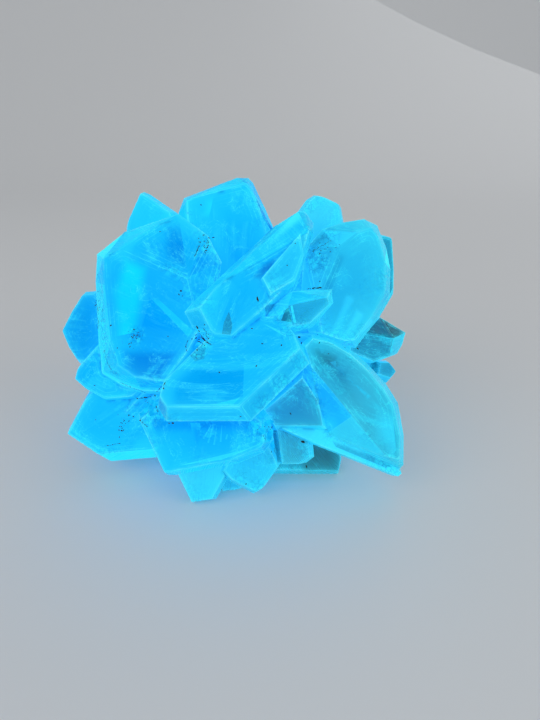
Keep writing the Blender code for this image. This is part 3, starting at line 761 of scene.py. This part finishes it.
def shape_and_tint(skin, named, outlines):
    """Wears the rims, raises growth steps, sinks the windows, and writes what the finish reads."""
    mesh = skin.data
    places, corners = read_mesh(mesh)
    facets = layer_values(mesh, "facet")
    ledges = layer_values(mesh, "ledge")
    middle, normal, foot = facet_frames(places, corners, facets)
    outward, inward = edge_bends(mesh)
    on_rim = (outward > SHARP_ANGLE) & (inward < SHARP_ANGLE)
    rim_distance, rim_vertex = nearest_of(places, on_rim)
    joint_distance, _ = nearest_of(places, inward > SHARP_ANGLE)
    rim_bend = np.clip(outward[rim_vertex] / FULL_BEND, 0, 1)
    etched = etched_share(BVHTree.FromPolygons(places, corners), places)

    lift = relief(places, corners, ledges, outlines, on_rim, rim_distance, joint_distance, etched)
    moved = places + vertex_normals(len(places), corners, normal[facets]) * lift[:, None]
    moved[:, 2] = np.maximum(moved[:, 2], 0)
    mesh.vertices.foreach_set("co", moved.ravel())
    mesh.update()

    write_tints(mesh, places, corners, facets, ledges, outlines, named, middle)
    write_layer(mesh, "rim", np.stack([rim_distance, rim_bend, joint_distance], 1))
    write_layer(mesh, "etched", etched)
    broad = evened(waviness(places, BROAD_MOOD, 7))
    patchy = evened(waviness(places, PATCHY_MOOD, 8))
    write_layer(mesh, "moods", np.stack([broad, patchy, soft_cells(places)], 1))
    write_streaks(mesh, places, corners, facets, named, middle, normal, foot)
    select_only(skin)
    bpy.ops.object.shade_smooth_by_angle(angle=ROUNDED_ANGLE)


class Finish:
    """A material's nodes, put together step by step."""

    def __init__(self, name):
        self.material = bpy.data.materials.new(name)
        self.material.use_nodes = True
        self.nodes = self.material.node_tree.nodes
        self.links = self.material.node_tree.links
        self.shader = self.nodes["Principled BSDF"]

    def fill(self, values, node=None):
        """Links or sets the inputs of a node, or else of the shader, by name or number."""
        inputs = (node or self.shader).inputs
        for name, value in values.items():
            if isinstance(value, bpy.types.NodeSocket):
                self.links.new(value, inputs[name])
            else:
                inputs[name].default_value = value

    def make(self, kind, values, **settings):
        """Adds a node, sets it up and fills its inputs."""
        node = self.nodes.new("ShaderNode" + kind)
        for name, value in settings.items():
            setattr(node, name, value)
        self.fill(values, node)
        return node.outputs

    def place(self):
        return self.make("TexCoord", {})["Object"]

    def layer(self, name):
        """What the mesh says under this name."""
        return self.make("Attribute", {}, attribute_name=name)

    def three(self, name):
        """The three numbers that the mesh holds under this name."""
        return self.make("SeparateXYZ", {0: self.layer(name)["Vector"]})

    def maths(self, kind, *values):
        return self.make("Math", dict(enumerate(values)), operation=kind)[0]

    def vector_maths(self, kind, *values):
        return self.make("VectorMath", dict(enumerate(values)), operation=kind)

    def product(self, first, second):
        return self.maths("MULTIPLY", first, second)

    def fade(self, distance, reach):
        """1 at no distance, falling off over the reach."""
        return self.maths("EXPONENT", self.product(distance, -1.0 / reach))

    def between(self, value, low, high, to_low=0.0, to_high=1.0):
        """Goes softly from one number to another while the value goes from low to high."""
        values = dict(enumerate((value, low, high, to_low, to_high)))
        return self.make("MapRange", values, interpolation_type="SMOOTHSTEP")[0]

    def cloud(self, vector, scale, detail=3.0, roughness=0.55, warp=0.0):
        return self.make("TexNoise", {"Vector": vector, "Scale": scale, "Detail": detail,
                                      "Roughness": roughness, "Distortion": warp})["Fac"]

    def drawn_cloud(self, streak, stretch, detail, roughness, warp):
        """A cloud drawn out along the growth lines."""
        drawn = self.vector_maths("MULTIPLY", streak, stretch)["Vector"]
        return self.cloud(drawn, 1.0, detail, roughness, warp)

    def crackle(self, place, scale):
        """Small uneven cells: how far a place is from their borders, and a cloud as fine as they are."""
        bend = self.make("TexNoise", {"Vector": place, "Scale": scale * 0.7})
        warped = self.vector_maths("MULTIPLY_ADD", bend["Color"], (1.6 / scale,) * 3, place)["Vector"]
        cells = self.make("TexVoronoi", {"Vector": warped, "Scale": scale}, feature="DISTANCE_TO_EDGE")
        return cells["Distance"], bend["Fac"]

    def mix(self, kind, glow, other, share, strength=None):
        amount = share if strength is None else self.product(share, strength)
        return self.make("Mix", {0: amount, 6: glow, 7: other}, data_type="RGBA", blend_type=kind)[2]

    def shade(self, glow, shade, *share):
        """Darkens a glow by a shade where the share says so."""
        return self.mix("MULTIPLY", glow, shade, *share)

    def light(self, glow, light, *share):
        """Mixes a light into a glow where the share says so."""
        return self.mix("MIX", glow, light, *share)

    def glassy(self, strength):
        """Gypsum's gloss, and how strongly its painted glow shines."""
        self.fill({"Emission Strength": strength, "IOR": GYPSUM_IOR,
                   "Specular IOR Level": GLOSS_LEVEL, "Specular Tint": GLOSS_TINT})


def inner_glow(finish, tint, place, rim_distance, moods):
    """The tint of a face, with painted shade toward the heart and in thick parts, in soft uneven fields."""
    broad, _, inner = moods
    depth = finish.vector_maths("DISTANCE", place, HEART)["Value"]
    # Painted shade near the heart, where the blades crowd together.
    glow = finish.shade(tint, DEEP_TONE_AND_SHADE, finish.between(depth, *ROOT_REACH, 1.0, 0.0), 0.75)
    # Painted shade in thick parts away from the rims, which are lit brighter.
    glow = finish.shade(glow, THICK_SHADE, finish.between(rim_distance, 1.0, 13.0), 0.22)
    # Deeper in broad uneven fields: the crystal's own tone.
    glow = finish.shade(glow, DEEP_TONE_AND_SHADE, finish.between(broad, 0.34, 0.6, 1.0, 0.0), 0.42)
    glow = finish.shade(glow, INNER_SHADE, finish.between(inner, 0.55, 0.95, 0.0, 0.34))
    return finish.light(glow, INNER_LIGHT, finish.between(inner, 0.4, 0.1, 0.0, 0.26))


def veils(finish, glow, streak, veil, lines, grain, patchy):
    """Pale veils, fine growth lines, thin wisps and a darker grain."""
    glow = finish.light(glow, VEIL_LIGHT, finish.between(veil, 0.52, 0.74), 0.38)
    line_share = finish.product(finish.between(lines, 0.48, 0.7), finish.between(patchy, 0.46, 0.62))
    glow = finish.light(glow, LINE_LIGHT, line_share, 0.16)
    wisp_field = finish.drawn_cloud(streak, WISP_STRETCH, 5.0, 0.6, 2.4)
    wisp_line = finish.maths("ABSOLUTE", finish.maths("SUBTRACT", wisp_field, 0.5))
    wisps = finish.between(wisp_line, 0.0, 0.016, 1.0, 0.0)
    glow = finish.light(glow, WISP_LIGHT, finish.product(wisps, finish.between(veil, 0.46, 0.6)), 0.45)
    grain_share = finish.product(finish.between(grain, 0.5, 0.72), finish.between(patchy, 0.5, 0.66))
    return finish.shade(glow, GRAIN_SHADE, grain_share, 0.3)


def rim_glow(finish, glow, edges, veil, moods):
    """Painted rim highlights, a halo and a crisp bright edge, and pale lines that run beside the rims."""
    rim_distance, rim_bend, _ = edges
    broad, patchy, _ = moods
    # Painted highlight: a soft halo inside sharp rims.
    halo = finish.product(finish.fade(rim_distance, 2.6), finish.product(rim_bend, 0.3))
    glow = finish.light(glow, HALO_LIGHT, halo)
    phase = finish.maths("ADD", finish.product(rim_distance, 4.4), finish.product(broad, 9.0))
    ripple = finish.between(finish.maths("SINE", phase), 0.55, 1.0)
    ripple = finish.product(ripple, finish.fade(rim_distance, 2.4))
    ripple = finish.product(ripple, finish.between(veil, 0.42, 0.58))
    glow = finish.light(glow, RIPPLE_LIGHT, ripple, 0.45)
    # Painted highlight: a crisp bright line along sharp rims.
    crisp = finish.product(finish.fade(rim_distance, 0.34), finish.between(rim_bend, 0.35, 1.0))
    crisp = finish.product(crisp, finish.between(patchy, 0.36, 0.6, 0.2, 0.7))
    return finish.light(glow, CRISP_LIGHT, crisp)


def crystal_finish():
    """Glassy gypsum with a painted azure glow: bright at its thin rims, deeper inside, with soft veils."""
    finish = Finish("glowing_gypsum")
    place = finish.place()
    clear = finish.layer("clear")["Fac"]
    streak = finish.layer("streak")["Vector"]
    edges = finish.three("rim")
    moods = finish.three("moods")
    rim_distance, _, joint_distance = edges
    _, patchy, _ = moods
    veil = finish.drawn_cloud(streak, VEIL_STRETCH, 4.0, 0.62, 1.6)
    lines = finish.drawn_cloud(streak, LINE_STRETCH, 3.0, 0.65, 0.5)
    grain = finish.cloud(place, GRAINS_PER_METRE, 3.0, 0.7)

    glow = inner_glow(finish, finish.layer("tint")["Color"], place, rim_distance, moods)
    glow = veils(finish, glow, streak, veil, lines, grain, patchy)
    glow = rim_glow(finish, glow, edges, veil, moods)
    # Painted shade along the joints where blades meet, in uneven patches.
    joint_shade_patches = finish.between(finish.cloud(place, JOINTS_PER_METRE, 2.0), 0.35, 0.62)
    glow = finish.shade(glow, PAINTED_JOINT_SHADE, finish.product(finish.fade(joint_distance, 0.6), joint_shade_patches), 0.75)

    worn = finish.product(finish.fade(rim_distance, 2.2), finish.between(patchy, 0.48, 0.62, 0.0, 0.75))
    crazed = finish.maths("MAXIMUM", finish.layer("etched")["Fac"], worn)
    cracks, cells = finish.crackle(place, CRAZE_PER_METRE)
    glow = finish.light(glow, CELL_LIGHT, crazed, finish.between(cells, 0.5, 0.62, 0.0, 0.5))
    glow = finish.shade(glow, CRACK_SHADE, crazed, finish.between(cracks, 0.12, 0.0, 0.0, 0.62))

    finish.glassy(GLOW_STRENGTH)
    rough = finish.product(crazed, finish.between(cracks, 0.0, 0.25, 0.0, 2.0))
    height = finish.maths("ADD", finish.maths("ADD", lines, finish.product(grain, 0.4)), rough)
    bump = finish.make("Bump", {"Strength": BUMP_STRENGTH, "Distance": BUMP_HEIGHT, "Height": height})
    finish.fill({
        "Base Color": finish.shade(glow, BODY_SHADE, 1.0),
        # The emission is the painted glow, dimmed where the crystal is clear.
        "Emission Color": finish.shade(glow, CLEAR_SHADE, clear),
        "Transmission Weight": finish.between(clear, 0.15, 0.8, 0.0, 0.85),
        "Roughness": finish.between(lines, 0.3, 0.7, 0.2, 0.36),
        "Normal": bump["Normal"],
    })
    return finish.material


def clay_finish():
    finish = Finish("brown_clay")
    grains = finish.between(finish.cloud(finish.place(), 1400.0, 3.0, 0.7), 0.35, 0.65)
    clay = finish.light(CLAY_BLACK, CLAY_BROWN, grains)
    finish.fill({"Base Color": clay, "Roughness": 0.85})
    return finish.material


def floor_finish():
    finish = Finish("pale_floor")
    finish.fill({"Base Color": FLOOR_TINT, "Roughness": 0.8})
    return finish.material


def seen_surface(tree, x, y):
    """Where the picture shows the crystal at a point, and how its face lies there."""
    place, normal, _, _ = tree.ray_cast(EYE, sight_line(x, y))
    return place, normal


def model_crumb(seed):
    """A flat, dented crumb, one unit in radius, that the clay specks are copied from."""
    bpy.ops.mesh.primitive_ico_sphere_add(subdivisions=2, radius=1.0)
    crumb = bpy.context.active_object
    bpy.ops.object.mode_set(mode="EDIT")
    bpy.ops.transform.resize(value=(1, 1, 0.5))
    in_hand = bmesh.from_edit_mesh(crumb.data)
    for vertex in in_hand.verts:
        vertex.co *= 1 + 0.5 * noise.noise(vertex.co * 1.3 + Vector((seed * 3.7, seed * 1.9, seed * 5.3)))
    bmesh.update_edit_mesh(crumb.data)
    bpy.ops.object.mode_set(mode="OBJECT")
    return crumb


def clay_crumb(model, place, normal, size, stretch, heading):
    """A copy of a crumb, pressed into its face and drawn out along a heading."""
    crumb = link("crumb", model.data.copy())
    along = (heading - normal * heading.dot(normal)).normalized()
    facing = Matrix((along, normal.cross(along), normal)).transposed().to_4x4()
    drawn_out = Matrix.Diagonal((stretch, 1, 1, 1)) @ Matrix.Scale(size * MM / 2, 4)
    crumb.data.transform(Matrix.Translation(place) @ facing @ drawn_out)
    return crumb


def clay_spots(rng):
    """Every crumb's place in the picture, size, stretch and heading."""
    spots = [(x, y, size, rng.uniform(1.0, 2.2), rng.uniform(0, math.tau)) for x, y, size in CLAY_SPECKS]
    for points, width in CLAY_SEAMS:
        for first, second in zip(points, points[1:]):
            wide = second[0] - first[0]
            high = second[1] - first[1]
            heading = math.atan2(-high, wide)
            pieces = max(1, round(math.hypot(wide, high) * PICTURE_POINT / (width * SEAM_SPACING)))
            for k in range(pieces):
                share = (k + rng.uniform(0.2, 0.8)) / pieces
                spots.append((first[0] + wide * share + rng.normal() * SEAM_STRAY,
                              first[1] + high * share + rng.normal() * SEAM_STRAY,
                              width * rng.uniform(0.55, 1.15), rng.uniform(1.6, 3.2),
                              heading + rng.normal() * SEAM_TURN))
    for x, y, half_width, half_height, count in CLAY_DUST:
        for _ in range(count):
            spots.append((x + half_width * rng.normal() * 0.5, y + half_height * rng.normal() * 0.5,
                          DUST_SIZE * rng.uniform(0.5, 1.5), rng.uniform(1.0, 2.6),
                          rng.uniform(0, math.tau)))
    return spots


def lay_clay(tree):
    """All clay specks and dust as one piece."""
    models = [model_crumb(seed) for seed in range(CRUMB_MODELS)]
    crumbs = []
    for number, (x, y, size, stretch, turn) in enumerate(clay_spots(np.random.default_rng(5))):
        place, normal = seen_surface(tree, x, y)
        if place is not None and place.z > LOWEST_CLAY:
            heading = RIGHT * math.cos(turn) + UPWARD * math.sin(turn)
            crumbs.append(clay_crumb(models[number % len(models)], place, normal, size, stretch, heading))
    for model in models:
        bpy.data.objects.remove(model)
    return joined("clay_specks", crumbs)


def joined(name, parts):
    bpy.ops.object.select_all(action="DESELECT")
    for part in parts:
        part.select_set(True)
    whole = parts[0]
    bpy.context.view_layer.objects.active = whole
    bpy.ops.object.join()
    whole.name = whole.data.name = name
    return whole


def model_small_crystal():
    """A short gypsum blade: a tapered block with a slanting end and worn edges.

    One unit wide, a little over one long, its root just below the origin."""
    bpy.ops.mesh.primitive_cube_add(size=1.0, location=(0, 0, 0.3))
    blade = bpy.context.active_object
    bpy.ops.object.transform_apply()
    edit(blade, "FACE")
    select_where(blade.data, "faces", lambda face: face.normal.z > 0.9)
    bpy.ops.mesh.extrude_region_move(TRANSFORM_OT_translate={"value": (0.16, 0, 0.32)})
    bpy.ops.transform.resize(value=(0.3, 0.62, 1))
    bpy.ops.mesh.select_all(action="SELECT")
    bpy.ops.mesh.bevel(offset=0.06, segments=1, affect="EDGES")
    bpy.ops.object.mode_set(mode="OBJECT")
    return blade


def grow_small_crystals(tree):
    """The short blades in the joints, as one piece."""
    model = model_small_crystal()
    picture = Matrix((RIGHT, -FORWARD, UPWARD)).transposed().to_4x4()
    blades = []
    for x, y, length, width, thick, turn, lean in SMALL_CRYSTALS:
        place, _ = seen_surface(tree, x, y)
        blade = link("small_blade", model.data.copy())
        tilt = Matrix.Rotation(math.radians(turn), 4, "Y") @ Matrix.Rotation(math.radians(lean), 4, "X")
        sizes = Matrix.Diagonal((width * MM, thick * MM, length * MM, 1))
        blade.data.transform(Matrix.Translation(place) @ picture @ tilt @ sizes)
        blades.append(blade)
    bpy.data.objects.remove(model)
    return joined("small_crystals", blades)


def small_crystal_finish():
    finish = Finish("small_gypsum")
    place = finish.place()
    fine = finish.cloud(place, 1500.0, 2.0, 0.6)
    cloudy = finish.between(finish.cloud(place, 300.0, 3.0, 0.6, 0.6), 0.35, 0.65)
    glow = finish.light(SMALL_DEEP, SMALL_BRIGHT, cloudy)
    finish.glassy(SMALL_GLOW_STRENGTH)
    finish.fill({
        "Base Color": finish.shade(glow, SMALL_SHADE, 1.0),
        # The emission is a painted glow, as on the large crystals.
        "Emission Color": glow,
        "Transmission Weight": 0.05,
        "Roughness": finish.between(fine, 0.3, 0.7, 0.15, 0.32),
    })
    return finish.material


def set_camera():
    data = bpy.data.cameras.new("photo_camera")
    data.lens = SENSOR_WIDTH * PICTURE_DISTANCE / PICTURE_HEIGHT
    data.sensor_width = SENSOR_WIDTH
    data.clip_start = NEAREST_SEEN
    camera = link("photo_camera", data)
    camera.matrix_world = Matrix.Translation(EYE) @ Matrix.Rotation(math.pi / 2 - EYE_DROP, 4, "X")
    bpy.context.scene.camera = camera


def soft_light(name, place, size, power):
    data = bpy.data.lights.new(name, "AREA")
    data.shape = "DISK"
    data.size = size
    data.energy = power
    lamp = link(name, data)
    lamp.location = place
    lamp.rotation_euler = (LAMP_AIM - Vector(place)).to_track_quat("-Z", "Y").to_euler()


def ends_behind(edge):
    """True for the edge where the floor ends behind the crystal."""
    return all(vertex.co.y > 1 and vertex.co.z < 0.1 for vertex in edge.verts)


def set_studio():
    """A pale floor that curves up behind, and three soft lamps."""
    bpy.ops.mesh.primitive_plane_add(size=FLOOR_SIZE, location=FLOOR_PLACE)
    floor = bpy.context.active_object
    floor.name = "floor"
    bpy.ops.object.transform_apply()
    edit(floor, "EDGE")
    select_where(floor.data, "edges", ends_behind)
    bpy.ops.mesh.extrude_region_move(TRANSFORM_OT_translate={"value": (0, 0, BACKDROP_HEIGHT)})
    select_where(floor.data, "edges", ends_behind)
    bpy.ops.mesh.bevel(offset=BACKDROP_CURVE, segments=16)
    bpy.ops.object.mode_set(mode="OBJECT")
    bpy.ops.object.shade_smooth()
    floor.data.materials.append(floor_finish())
    for lamp in LAMPS:
        soft_light(*lamp)
    world = bpy.data.worlds.new("studio")
    bpy.context.scene.world = world
    world.use_nodes = True
    room = world.node_tree.nodes["Background"]
    room.inputs["Color"].default_value = ROOM_TINT
    room.inputs["Strength"].default_value = ROOM_LIGHT
    bpy.context.scene.view_settings.view_transform = "Standard"


set_camera()
set_studio()
crystals, named_facets, ledge_outlines = crystal_skin()
shape_and_tint(crystals, named_facets, ledge_outlines)
crystals.data.materials.append(crystal_finish())
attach(crystals, "root")
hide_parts("gypsum_rosette")
skin_tree = BVHTree.FromPolygons([vertex.co for vertex in crystals.data.vertices],
                                [face.vertices for face in crystals.data.polygons])
clay = lay_clay(skin_tree)
clay.data.materials.append(clay_finish())
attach(clay, "root")
small = grow_small_crystals(skin_tree)
small.data.materials.append(small_crystal_finish())
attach(small, "root")
